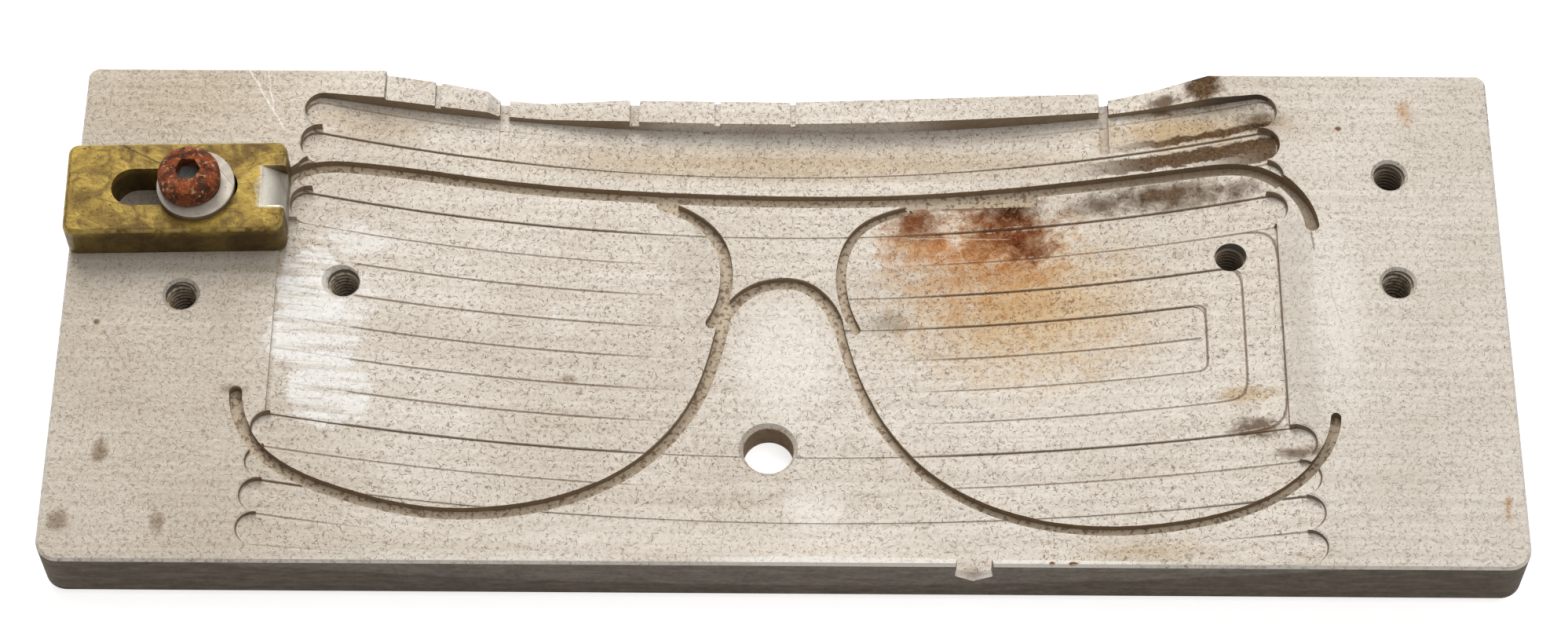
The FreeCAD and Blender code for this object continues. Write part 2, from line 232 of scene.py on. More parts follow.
@dataclass(frozen=True)
class Milling:
    """The bed's milled form, in millimetres, as the plate's own sizes give it."""

    thickness: float = 10.0
    bed_depth: float = 5.5
    bed_radius: float = 478.3
    half_chord: float = 70.0
    bed_end: float = 67.4
    first_left_y: float = 33.6
    first_right_y: float = 34.4
    pitch_left: float = 4.88
    pitch_right: float = 5.07
    back_bow: float = 5.4
    front_bow: float = 2.4
    pass_count: int = 14
    loop_middle: float = 7.0
    loop_start_x: float = 50.6
    loop_spacing: float = 4.95
    loop_passes: float = 3.0
    loop_power: float = 9.0
    strip_end_x: float = -57.0
    left_tip: tuple[float, float] = (-65.2, -69.8)
    right_tip: tuple[float, float] = (66.4, 69.3)
    tip_slant: float = 28.6
    groove_edge: float = 0.3
    groove_floor: float = 0.6
    line_width: float = 0.042
    # Where the painted highlight beside each pass line lies and how wide it is, in pitches.
    step_glint_place: float = 0.062
    step_glint_width: float = 0.028


@dataclass
class Effects:
    """The shared node groups, each built once."""

    milling: Milling = field(default_factory=Milling)

    def build(self) -> None:
        """Build every group."""
        self.worms = self.worm_marks()
        self.specks = self.fine_specks()
        self.patch = self.soft_patch()
        self.mark = self.straight_mark()
        self.scratch = self.scratch_marks()
        self.edges = self.round_edges()
        self.passes = self.pass_map()

    def worm_marks(self) -> Tree:
        """Return short curly marks, as left by chips and dried flux."""
        tree, graph, given, out = new_group("Worm_Marks", "Position", "Scale", "Width")
        wave = graph.noise(given["Position"], given["Scale"], 0.0, 0.5, 0.7)
        breaks = graph.noise(given["Position"], graph.times(given["Scale"], 1.35), 1.0)
        line = graph.absolute(graph.minus(wave, 0.5))
        share = graph.over(line, given["Width"], clamp=True)
        kept = graph.ramp(breaks, 0.50, 0.56)
        graph.feed(out["Mask"], graph.times(graph.rest(share), kept))
        return tree

    def fine_specks(self) -> Tree:
        """Return small dark dots with soft rims."""
        tree, graph, given, out = new_group("Fine_Specks", "Position", "Scale", "Cover")
        dots = graph.noise(given["Position"], given["Scale"], 3.0, 0.6, 0.3)
        limit = graph.rest(given["Cover"])
        over = graph.minus(dots, limit)
        graph.feed(out["Mask"], graph.times(over, 14.0, clamp=True))
        return tree

    def soft_patch(self) -> Tree:
        """Return one ragged oval patch on the plan, strongest in its middle."""
        tree, graph, given, out = new_group(
            "Soft_Patch", "Position", "Tear", "Centre X", "Centre Y", "Half X", "Half Y", "Ragged", "Soft"
        )
        x, y, _ = graph.axes(given["Position"])
        squares = []
        for value, centre, half in ((x, "Centre X", "Half X"), (y, "Centre Y", "Half Y")):
            share = graph.over(graph.minus(value, given[centre]), given[half])
            squares.append(graph.times(share, share))
        reach = graph.math("SQRT", graph.plus(*squares))
        torn = graph.times(graph.minus(given["Tear"], 0.5), given["Ragged"])
        inside = graph.rest(graph.plus(reach, torn))
        graph.feed(out["Mask"], graph.over(inside, given["Soft"], clamp=True))
        return tree

    def straight_mark(self) -> Tree:
        """Return one straight scratch on the plan, from a start point along a direction."""
        tree, graph, given, out = new_group(
            "Straight_Mark", "Position", "Wave", "Start X", "Start Y", "Turn", "Length", "Width"
        )
        x, y, _ = graph.axes(given["Position"])
        east = graph.minus(x, given["Start X"])
        north = graph.minus(y, given["Start Y"])
        cosine, sine = graph.math("COSINE", given["Turn"]), graph.math("SINE", given["Turn"])
        along = graph.plus(graph.times(east, cosine), graph.times(north, sine))
        beside = graph.minus(graph.times(north, cosine), graph.times(east, sine))
        sway = graph.minus(given["Wave"], 0.5)
        beside = graph.plus(beside, graph.times(sway, 0.8))
        near = graph.over(graph.absolute(beside), given["Width"], clamp=True)
        started = graph.ramp(along, 0.0, 0.4)
        left = graph.ramp(graph.minus(given["Length"], along), 0.0, 0.8)
        mask = graph.times(graph.rest(near), graph.times(started, left))
        graph.feed(out["Mask"], mask)
        return tree

    def scratch_marks(self) -> Tree:
        """Return long thin broken scratches along the first axis of the position."""
        tree, graph, given, out = new_group("Scratch_Marks", "Position", "Cover")
        lines = graph.noise(graph.stretch(given["Position"], (0.035, 1.5, 0.1)), 1.0, 2.0, 0.5, 0.1)
        limit = graph.rest(given["Cover"])
        over = graph.times(graph.minus(lines, limit), 12.0, clamp=True)
        graph.feed(out["Mask"], over)
        return tree

    def round_edges(self) -> Tree:
        """Return where a surface turns from lying to standing, as on a broken edge."""
        tree, graph, given, out = new_group("Round_Edges", "Normal")
        tilt = graph.absolute(graph.axes(given["Normal"])[2])
        rising = graph.ramp(tilt, 0.12, 0.45)
        falling = graph.ramp(tilt, 0.98, 0.80)
        graph.feed(out["Mask"], graph.times(rising, falling))
        return tree

    def pass_map(self) -> Tree:
        """Return what the cutter did at each place: depth in grooves, pass number, pass edges and the bed,
        and a painted highlight beside the pass edges.
        """
        sizes = self.milling
        tree, graph, given, out = new_group(
            "Pass_Map", "Position", "Wobble", outputs=("Groove", "Number", "Line", "Step_Glint", "Bed", "Sunk")
        )
        x, y, z = graph.axes(given["Position"])
        square = graph.times(x, x)
        floor = sizes.thickness - sizes.bed_depth
        bed = graph.plus(graph.over(square, 2 * sizes.bed_radius), floor)
        bed = graph.math("MINIMUM", bed, sizes.thickness)
        sunk = graph.minus(bed, z)
        along = graph.over(graph.plus(x, sizes.half_chord), 2 * sizes.half_chord)
        hump = graph.rest(graph.over(square, sizes.half_chord**2))
        bow_step = (sizes.back_bow - sizes.front_bow) / (sizes.pass_count - 1)
        rise = sizes.first_right_y - sizes.first_left_y
        start = graph.plus(graph.times(along, rise), sizes.first_left_y)
        start = graph.minus(start, graph.times(hump, sizes.back_bow + bow_step))
        pitch = graph.plus(graph.times(along, sizes.pitch_right - sizes.pitch_left), sizes.pitch_left)
        pitch = graph.minus(pitch, graph.times(hump, bow_step))
        number = graph.over(graph.minus(start, y), pitch)
        line, step_glint = self.pass_lines(graph, given["Wobble"], number, x, y)
        graph.feed(out["Groove"], graph.ramp(sunk, sizes.groove_edge, sizes.groove_floor))
        graph.feed(out["Number"], number)
        graph.feed(out["Line"], line)
        graph.feed(out["Step_Glint"], step_glint)
        graph.feed(out["Bed"], graph.ramp(graph.minus(sizes.thickness, z), 0.03, 0.20))
        graph.feed(out["Sunk"], sunk)
        return tree

    def round_ends(self, graph: Graph, number: Socket, x: Socket, y: Socket) -> Socket:
        """Return how far a place is from the round-ended outline of its own pass, in pitches.

        Args:
            graph: The pass map's graph.
            number: How many passes lie behind the place.
            x: The place along the plate in millimetres.
            y: The place across the plate in millimetres.

        Returns:
            The distance.
        """
        sizes = self.milling
        right = graph.math("GREATER_THAN", x, 0.0)
        ends = []
        for left_x, right_x in zip(sizes.left_tip, sizes.right_tip):
            ends.append(graph.plus(graph.times(right, right_x + left_x), -left_x))
        back, front = ends
        slant = graph.over(graph.minus(sizes.tip_slant, y), 2 * sizes.tip_slant, clamp=True)
        tip = graph.plus(back, graph.times(slant, graph.minus(front, back)))
        beyond = graph.minus(graph.absolute(x), tip)
        beyond = graph.plus(graph.over(beyond, sizes.pitch_right), 0.5)
        beyond = graph.most(beyond, 0.0)
        middle = graph.minus(graph.math("FRACT", number), 0.5)
        squares = graph.plus(graph.times(beyond, beyond), graph.times(middle, middle))
        return graph.absolute(graph.minus(0.5, graph.math("SQRT", squares)))

    def pass_lines(self, graph: Graph, wobble: Socket, number: Socket, x: Socket, y: Socket) -> tuple:
        """Return where two cutter passes meet, with the loops that end them on the right.

        Args:
            graph: The pass map's graph.
            wobble: A noise that varies the lines' width.
            number: How many passes lie behind the place.
            x: The place along the plate in millimetres.
            y: The place across the plate in millimetres.

        Returns:
            The lines' mask, and that of the painted highlight beside them.
        """
        sizes = self.milling
        span = graph.absolute(x)
        plain = graph.absolute(graph.minus(number, graph.math("ROUND", number)))
        level = graph.absolute(graph.minus(number, sizes.loop_middle))
        start = graph.over(graph.minus(x, sizes.loop_start_x), sizes.loop_spacing)
        start = graph.most(start, 0.0)
        powers = [graph.math("POWER", value, sizes.loop_power) for value in (level, start)]
        loop = graph.math("POWER", graph.plus(*powers), 1.0 / sizes.loop_power)
        looped = graph.absolute(graph.minus(loop, graph.math("ROUND", loop)))
        looped = graph.plus(looped, graph.ramp(loop, sizes.loop_passes + 0.3, sizes.loop_passes + 0.4))
        tongue = graph.plus(plain, graph.most(graph.ramp(level, 0.3, 0.35), graph.ramp(start, 0.85, 0.9)))
        looped = graph.math("MINIMUM", looped, tongue)
        field_share = graph.math("LESS_THAN", level, sizes.loop_passes)
        kept = graph.times(looped, field_share)
        rounded = self.round_ends(graph, number, x, y)
        other = graph.times(rounded, graph.rest(field_share))
        near = graph.plus(kept, other)
        width = graph.times(wobble, 2.0 * sizes.line_width)
        line = graph.rest(graph.over(near, width), clamp=True)
        # Painted highlight: a pale line just beside each pass line, where the step catches the light.
        beside = graph.absolute(graph.minus(near, sizes.step_glint_place))
        step_glint = graph.rest(graph.over(beside, sizes.step_glint_width), clamp=True)
        step_glint = graph.times(step_glint, graph.ramp(wobble, 0.46, 0.58))
        strip = graph.times(graph.ramp(x, sizes.strip_end_x + 0.4, sizes.strip_end_x - 0.4), field_share)
        front = graph.times(graph.ramp(number, 11.2, 12.2), graph.ramp(span, 64.0, 50.0))
        back = graph.times(graph.ramp(number, 2.6, 2.2), graph.ramp(span, 44.0, 20.0))
        for share in (
            graph.between(number, -0.1, sizes.pass_count + 0.1, 0.2),
            graph.ramp(span, 12.0, 26.0),
            graph.most(graph.rest(field_share), graph.ramp(span, sizes.bed_end, sizes.bed_end - 0.5)),
            graph.rest(front),
            graph.rest(back),
            graph.rest(graph.times(strip, 0.75)),
        ):
            line = graph.times(line, share)
            step_glint = graph.times(step_glint, share)
        return line, step_glint


class Way(Enum):
    """How a stain changes the colour under it."""

    TINT = "MULTIPLY"
    COVER = "MIX"


@dataclass(frozen=True)
class Tone:
    """A stain's colour, how it goes on, and the marks that come with it."""

    colour: Colour
    way: Way = Way.TINT
    sooty: bool = False
    burnt: bool = False


RUST_CORE = Tone((0.280, 0.105, 0.038), sooty=True)
BLACKENED = Tone((0.28, 0.215, 0.165), sooty=True)
SCORCH = Tone((0.84, 0.49, 0.20), burnt=True)
WARM_HALO = Tone((0.95, 0.73, 0.44), burnt=True)
SOOT = Tone((0.170, 0.105, 0.060), sooty=True)
GREY_SMUDGE = Tone((0.58, 0.55, 0.51))
# Dark brown for dents, also painted as shade in the half hole in the front edge.
DENT_AND_HOLE_SHADE = Tone((0.36, 0.25, 0.15))
# Brown for dust, also painted as shade at the foot of the ridge.
DUST_AND_SHADE_BROWN = Tone((0.73, 0.59, 0.39))
WHITE_CRUST = Tone((0.81, 0.795, 0.765), Way.COVER)
PALE = Tone((0.84, 0.80, 0.74), Way.COVER)


@dataclass(frozen=True)
class Stain:
    """One patch on the plate: where it is in plan, in millimetres, and what it does to the colour."""

    x: float
    y: float
    half_x: float
    half_y: float
    tone: Tone
    strength: float
    ragged: float = 1.4
    soft: float = 0.55


STAINS = [
    Stain(0.0, -4.0, 8.5, 12.0, PALE, 0.55, 0.8),
    Stain(-8.0, -31.0, 60.0, 5.0, PALE, 0.22, 0.8),
    Stain(18.0, -36.6, 32.0, 1.1, PALE, 0.85, 0.3, 0.3),
    Stain(34.1, -36.8, 0.45, 0.35, RUST_CORE, 1.0, 0.2, 0.4),
    Stain(36.8, -36.8, 0.75, 0.30, RUST_CORE, 1.0, 0.2, 0.4),
    Stain(46.0, -33.4, 9.0, 2.4, DUST_AND_SHADE_BROWN, 0.60, 1.8, 0.8),
    Stain(40.0, -8.0, 22.0, 12.0, PALE, 0.20, 1.2),
    Stain(72.5, 0.0, 4.8, 17.0, PALE, 0.50, 1.6, 0.8),
    Stain(4.0, -26.8, 5.4, 3.4, PALE, 0.60, 1.0, 0.6),
    Stain(32.0, 3.0, 22.0, 15.0, WARM_HALO, 0.90, 1.2, 0.9),
    Stain(25.0, 9.0, 15.0, 11.0, SCORCH, 0.55, 1.6, 1.0),
    Stain(17.6, 13.6, 6.4, 6.0, SCORCH, 0.75, 1.6, 0.8),
    Stain(29.0, 13.4, 10.5, 8.0, SCORCH, 0.85, 1.8, 0.9),
    Stain(30.0, 15.4, 7.8, 5.6, RUST_CORE, 0.95, 2.2, 0.8),
    Stain(33.0, 11.4, 4.4, 2.8, RUST_CORE, 0.75, 2.2, 0.8),
    Stain(17.9, 16.0, 4.6, 3.4, RUST_CORE, 0.95, 2.0, 0.8),
    Stain(30.8, 18.2, 5.2, 2.4, BLACKENED, 0.90, 1.6, 0.7),
    Stain(26.0, 18.6, 9.0, 0.9, RUST_CORE, 0.80, 1.0),
    Stain(51.5, 19.4, 12.0, 3.2, SOOT, 0.95, 2.0, 0.8),
    Stain(43.0, 18.4, 7.5, 1.9, SOOT, 0.70, 2.0, 0.8),
    Stain(61.0, 20.0, 4.5, 1.8, SOOT, 0.50, 2.0, 0.8),
    Stain(-13.0, 10.0, 5.0, 4.5, GREY_SMUDGE, 0.25),
    Stain(-11.2, 15.6, 1.8, 3.8, GREY_SMUDGE, 0.55, 1.0, 0.9),
    Stain(13.8, 1.2, 4.2, 2.4, GREY_SMUDGE, 0.85, 1.2, 0.8),
    # Painted shade: a brown band along the foot of the ridge's wall, across the back of the bed.
    Stain(0.0, 25.5, 54.0, 3.6, DUST_AND_SHADE_BROWN, 0.65, 0.9, 0.8),
    Stain(-80.0, 32.0, 26.0, 10.0, DUST_AND_SHADE_BROWN, 0.30, 0.8, 0.9),
    Stain(54.0, 29.5, 15.0, 4.2, DUST_AND_SHADE_BROWN, 0.95, 1.8, 0.8),
    Stain(63.6, 30.6, 3.4, 3.0, SOOT, 0.80, 1.8, 0.8),
    Stain(56.6, 35.4, 3.2, 3.0, SOOT, 1.0, 1.8, 0.5),
    Stain(51.0, 33.4, 3.0, 1.3, SOOT, 0.85, 2.2),
    Stain(-56.0, 29.5, 9.0, 3.4, DUST_AND_SHADE_BROWN, 0.35, 1.4),
    Stain(-62.6, 3.6, 4.6, 6.4, WHITE_CRUST, 0.95, 0.9, 0.10),
    Stain(-61.8, -3.6, 6.4, 6.0, WHITE_CRUST, 0.95, 0.9, 0.10),
    Stain(-59.6, -11.6, 6.0, 5.6, WHITE_CRUST, 0.92, 1.3, 0.2),
    Stain(-58.0, 2.0, 4.2, 6.0, WHITE_CRUST, 0.55, 1.5, 0.45),
    Stain(-57.2, 11.8, 5.6, 3.2, WHITE_CRUST, 0.65, 1.7, 0.45),
    Stain(-30.5, 1.5, 0.7, 1.2, WHITE_CRUST, 0.9, 1.0),
    Stain(61.0, -16.6, 4.2, 1.9, SOOT, 0.85, 2.1),
    Stain(60.0, -11.4, 4.6, 1.6, DUST_AND_SHADE_BROWN, 0.85, 2.0),
    Stain(66.5, -20.2, 3.2, 1.3, SOOT, 0.75, 2.2),
    Stain(-88.0, -21.5, 1.4, 2.0, DENT_AND_HOLE_SHADE, 0.75, 2.2),
    Stain(-92.2, -31.5, 1.6, 2.0, DENT_AND_HOLE_SHADE, 0.70, 2.2),
    Stain(-79.8, -31.9, 1.4, 2.2, DENT_AND_HOLE_SHADE, 0.60, 2.4),
    Stain(-90.2, -2.6, 0.55, 0.55, DENT_AND_HOLE_SHADE, 0.95, 0.8),
    Stain(-28.4, -8.2, 1.4, 1.0, DENT_AND_HOLE_SHADE, 0.60, 2.4),
    Stain(74.5, 28.5, 0.6, 0.5, RUST_CORE, 0.95, 0.9),
    Stain(83.5, 31.0, 1.2, 2.2, SCORCH, 0.45, 3.0),
    Stain(92.5, -28.5, 0.8, 2.2, SCORCH, 0.55, 2.6),
    Stain(-71.5, -12.6, 2.4, 1.2, DENT_AND_HOLE_SHADE, 0.60, 2.2),
    # Painted shade: darkens the floor of the half hole in the front edge.
    Stain(24.3, -36.6, 2.2, 1.9, DENT_AND_HOLE_SHADE, 0.50, 0.6),
]


@dataclass(frozen=True)
class Line:
    """One straight scratch: its start in millimetres, its turn in degrees and its length."""

    x: float
    y: float
    turn: float
    length: float
    width: float
    colour: Colour
    strength: float


CHALK = (0.88, 0.86, 0.82)
PLATE_LINES = [
    Line(-73.2, 37.2, -61.0, 11.5, 0.20, CHALK, 0.75),
    Line(-70.7, 37.2, -79.0, 7.0, 0.16, CHALK, 0.65),
    Line(-89.2, -3.6, -58.0, 8.6, 0.12, (0.24, 0.16, 0.09), 0.50),
    Line(69.8, 12.6, -84.0, 3.4, 0.25, (0.16, 0.10, 0.06), 0.85),
    Line(71.6, 5.0, -78.0, 8.0, 0.14, (0.30, 0.22, 0.15), 0.40),
    Line(16.4, 14.0, -2.0, 14.0, 0.12, (0.86, 0.78, 0.66), 0.55),
]
BAR_LINES = [
    Line(-88.9, 21.6, -27.0, 7.2, 0.22, (0.040, 0.024, 0.014), 0.85),
    Line(-91.5, 13.2, -13.0, 6.5, 0.16, (0.060, 0.034, 0.018), 0.60),
]


@dataclass(frozen=True)
class PlateFinish:
    """Old milled aluminium: dull, warm grey, stained, specked and scratched, with painted shade on its inner
    walls, sides and holes and painted highlights on its edges.
    """

    worn: Colour = (0.560, 0.500, 0.420)
    clean: Colour = (0.730, 0.680, 0.610)
    dirt: Colour = (0.190, 0.105, 0.048)
    # Brown of grime, also mixed into the painted shade on the inner walls.
    grime_and_wall_shade: Colour = (0.330, 0.235, 0.140)
    # Dark brown painted as shade on the standing inner walls, and as smoke on the grooves' floors on the
    # right.
    wall_shade_and_smoke: Colour = (0.270, 0.195, 0.125)
    curl: Colour = (0.520, 0.380, 0.220)
    band: Colour = (0.480, 0.435, 0.370)
    groove_floor: Colour = (0.640, 0.530, 0.390)
    # Dark mottled browns painted as shade on the plate's outer sides and underside.
    side: Colour = (0.094, 0.072, 0.052)
    side_shade_pale: Colour = (0.160, 0.128, 0.096)
    burn_mark: Colour = (0.330, 0.125, 0.040)
    # Dark grey painted as shade inside the tapped holes.
    hole_shade: Colour = (0.190, 0.178, 0.160)
    # Pale colour of the painted highlights on the plate's outer edges and beside the pass lines.
    edge: Colour = (0.800, 0.765, 0.700)
    half_length: float = 95.0
    half_depth: float = 37.2
    back_edge_y: float = 33.0
    corner_reach: float = 129.6
    end_band: tuple[float, float] = (65.4, 69.9)
    hole_reach: float = 2.7
    metal: float = 0.20
    bump_height: float = 0.00010

    def build(self, effects: Effects) -> Material:
        """Return the plate's material.

        Args:
            effects: The shared node groups.

        Returns:
            The material.
        """
        material, graph, shader, place, normal = start_material("plate_aluminium")
        tear = graph.noise(place, 0.42, 6.0, 0.66, 0.5)
        fine = graph.noise(place, 1.6, 4.0, 0.62)
        passes = graph.use(effects.passes, Position=place, Wobble=fine).outputs
        x, y, _ = graph.axes(place)
        facing = graph.axes(normal)[2]
        bed = passes["Bed"]
        upward = graph.ramp(facing, 0.25, 0.6)
        downward = graph.ramp(facing, -0.3, -0.6)
        standing = graph.ramp(graph.absolute(facing), 0.55, 0.2)
        groove = graph.times(passes["Groove"], graph.rest(downward))

        cloud = graph.noise(place, 0.045, 4.0, 0.6)
        share = graph.plus(graph.ramp(x, -82.0, -45.0, 0.05, 0.72), graph.ramp(cloud, 0.35, 0.68, -0.2, 0.32))
        share = graph.plus(share, graph.ramp(x, 60.0, 90.0, 0.0, 0.22))
        colour = graph.mix(share, self.worn, self.clean)
        rolled = graph.noise(graph.stretch(place, (0.012, 0.95, 0.4)), 1.0, 4.0, 0.65)
        colour = graph.mix(graph.ramp(rolled, 0.40, 0.58, 0.16, 0.0), colour, self.grime_and_wall_shade)
        colour = graph.mix(graph.ramp(rolled, 0.54, 0.74, 0.0, 0.16), colour, PALE.colour)
        dusty = graph.ramp(fine, 0.50, 0.66)
        colour = graph.cover(colour, self.grime_and_wall_shade, dusty, graph.ramp(tear, 0.42, 0.62, 0.10, 0.42))

        worms = graph.mask(effects.worms, Position=place, Scale=1.35, Width=0.045)
        turned = graph.stretch(place, (1.0, 1.25, 1.0), 0.6)
        small = graph.mask(effects.worms, Position=turned, Scale=2.6, Width=0.055)
        specks = graph.mask(effects.specks, Position=place, Scale=2.1, Cover=0.345)
        dense = graph.plus(graph.times(bed, 0.30), 0.45)
        colour = graph.cover(colour, self.dirt, worms, dense)
        colour = graph.cover(colour, self.dirt, small, 0.55)
        colour = graph.cover(colour, self.dirt, specks, 0.85)

        torn_x = graph.plus(x, graph.times(graph.minus(tear, 0.5), 6.0))
        across = graph.between(torn_x, *self.end_band, 0.5)
        along = graph.between(y, -18.0, 15.5, 2.0)
        colour = graph.cover(colour, self.band, across, along, 0.35)

        sooty = burnt = 0.0
        streaks = graph.ramp(rolled, 0.40, 0.54, 0.25, 1.0)
        for stain in STAINS:
            mask = graph.mask(effects.patch, Position=place, Tear=tear, Centre_X=stain.x, Centre_Y=stain.y,
                              Half_X=stain.half_x, Half_Y=stain.half_y, Ragged=stain.ragged, Soft=stain.soft)
            if stain.tone is WHITE_CRUST:
                mask = graph.times(mask, streaks)
            mask = graph.times(graph.times(mask, stain.strength), upward)
            colour = graph.mix(mask, colour, stain.tone.colour, stain.tone.way.value)
            if stain.tone.sooty:
                sooty = graph.most(sooty, mask)
            if stain.tone.burnt:
                burnt = graph.most(burnt, mask)
        colour, fingers = self.soot_fingers(graph, colour, passes, x, tear)
        sooty = graph.most(sooty, fingers)
        scorched = graph.times(graph.most(graph.most(worms, small), dusty), burnt)
        colour = graph.cover(colour, self.burn_mark, scorched, 0.55)
        curls = graph.times(graph.most(small, graph.times(dusty, 0.6)), sooty)
        colour = graph.cover(colour, self.curl, curls, 0.38)

        milled = graph.times(bed, upward)
        colour = graph.cover(colour, self.dirt, passes["Line"], milled, 0.85)
        # Painted highlight: the pale line beside each pass line on the milled bed.
        colour = graph.cover(colour, self.edge, passes["Step_Glint"], milled, 0.55)
        for drawn in PLATE_LINES:
            colour = add_line(graph, effects, place, tear, colour, drawn)
        scratch = graph.mask(effects.scratch, Position=graph.stretch(place, (1.0, 1.0, 1.0), 0.35),
                             Cover=0.235)
        colour = graph.cover(colour, PALE.colour, scratch, 0.25)

        floor = graph.mix(graph.ramp(fine, 0.50, 0.60, 0.0, 0.85), self.groove_floor, self.dirt)
        smoked = graph.times(graph.ramp(x, 26.0, 52.0, 0.0, 0.85), graph.ramp(y, 6.0, 12.0))
        floor = graph.mix(smoked, floor, self.wall_shade_and_smoke)
        colour = graph.cover(colour, floor, groove, 0.85)
        # Painted shade: the standing inner walls of the bed, ridge and grooves get a dark brown, but not the
        # low steps at the flat ends.
        wall_shade = graph.mix(graph.ramp(tear, 0.40, 0.62, 0.0, 0.7), self.wall_shade_and_smoke, self.grime_and_wall_shade)
        flat_ends = graph.times(graph.ramp(x, -62.0, -64.0), graph.ramp(graph.absolute(y), 15.0, 13.0))
        flat_ends = graph.most(flat_ends, graph.ramp(graph.absolute(x), 24.0, 14.0))
        small_step = graph.times(graph.ramp(passes["Sunk"], 0.32, 0.28), flat_ends)
        wall_shade_share = graph.times(standing, graph.minus(0.92, small_step, clamp=True))
        colour = graph.mix(wall_shade_share, colour, wall_shade)
        # Painted shade: standing faces within each tapped hole get a dark grey.
        for hole in HOLES:
            near = graph.mask(effects.patch, Position=place, Tear=tear, Centre_X=hole.x, Centre_Y=hole.y,
                              Half_X=self.hole_reach, Half_Y=self.hole_reach, Ragged=0.0, Soft=0.05)
            colour = graph.cover(colour, self.hole_shade, near, standing)

        # Painted shade: the outer standing and downward faces, the dark front face among them, get a mottled
        # dark brown.
        smear = graph.noise(graph.stretch(place, (0.25, 0.25, 1.1)), 1.0, 5.0, 0.65)
        side_shade = graph.mix(graph.ramp(smear, 0.35, 0.70), self.side, self.side_shade_pale)
        span = graph.absolute(x)
        corner = graph.plus(span, graph.absolute(y))
        outside = graph.ramp(y, 0.6 - self.half_depth, 0.2 - self.half_depth)
        for other in (
            graph.ramp(span, self.half_length - 0.7, self.half_length - 0.2),
            graph.ramp(y, self.back_edge_y, self.back_edge_y + 0.6),
            graph.ramp(corner, self.corner_reach, self.corner_reach + 0.6),
        ):
            outside = graph.most(outside, other)
        side_shade_share = graph.times(graph.most(standing, downward), outside)
        colour = graph.mix(side_shade_share, colour, side_shade)
        # Painted highlight: the outer edges' slopes get a pale colour, broken by noise.
        edge = graph.mask(effects.edges, Normal=normal)
        bright = graph.times(graph.times(edge, outside), graph.ramp(fine, 0.40, 0.54))
        colour = graph.cover(colour, self.edge, bright, 0.8)

        rough = graph.plus(graph.ramp(fine, 0.3, 0.7, 0.48, 0.66), graph.times(groove, 0.2))
        stained = graph.most(sooty, burnt)
        dull = graph.rest(graph.most(groove, stained), clamp=True)
        graph.fill(shader, Base_Color=colour, Roughness=rough, Metallic=graph.times(dull, self.metal),
                   Specular_IOR_Level=graph.ramp(stained, 0.0, 0.6, 0.35, 0.04))
        height = graph.minus(graph.times(fine, 0.8), graph.times(worms, 0.4))
        height = graph.minus(height, passes["Line"])
        add_bump(graph, shader, height, self.bump_height)
        return material

    def soot_fingers(self, graph: Graph, colour: Socket, passes: object, x: Socket, tear: Socket) -> tuple:
        """Tint the colour with the sooty bands along the two back passes on the right.

        Args:
            graph: The material's graph.
            colour: The colour underneath.
            passes: The pass map's outputs.
            x: The place along the plate in millimetres.
            tear: The ragged noise.

        Returns:
            The new colour and the bands' mask.
        """
        number = passes["Number"]
        fingers = 0.0
        shifted = graph.plus(number, graph.times(graph.minus(tear, 0.5), 0.45))
        for low, high, start_x, strength in ((0.62, 0.93, 40.0, 0.95), (1.10, 1.62, 36.0, 0.97),
                                             (1.50, 1.92, 52.0, 0.97)):
            band = graph.between(shifted, low, high, 0.08)
            band = graph.times(band, graph.ramp(x, start_x, start_x + 14.0))
            band = graph.times(graph.times(band, passes["Bed"]), strength)
            fingers = graph.most(fingers, band)
        return graph.mix(fingers, colour, SOOT.colour, SOOT.way.value), fingers


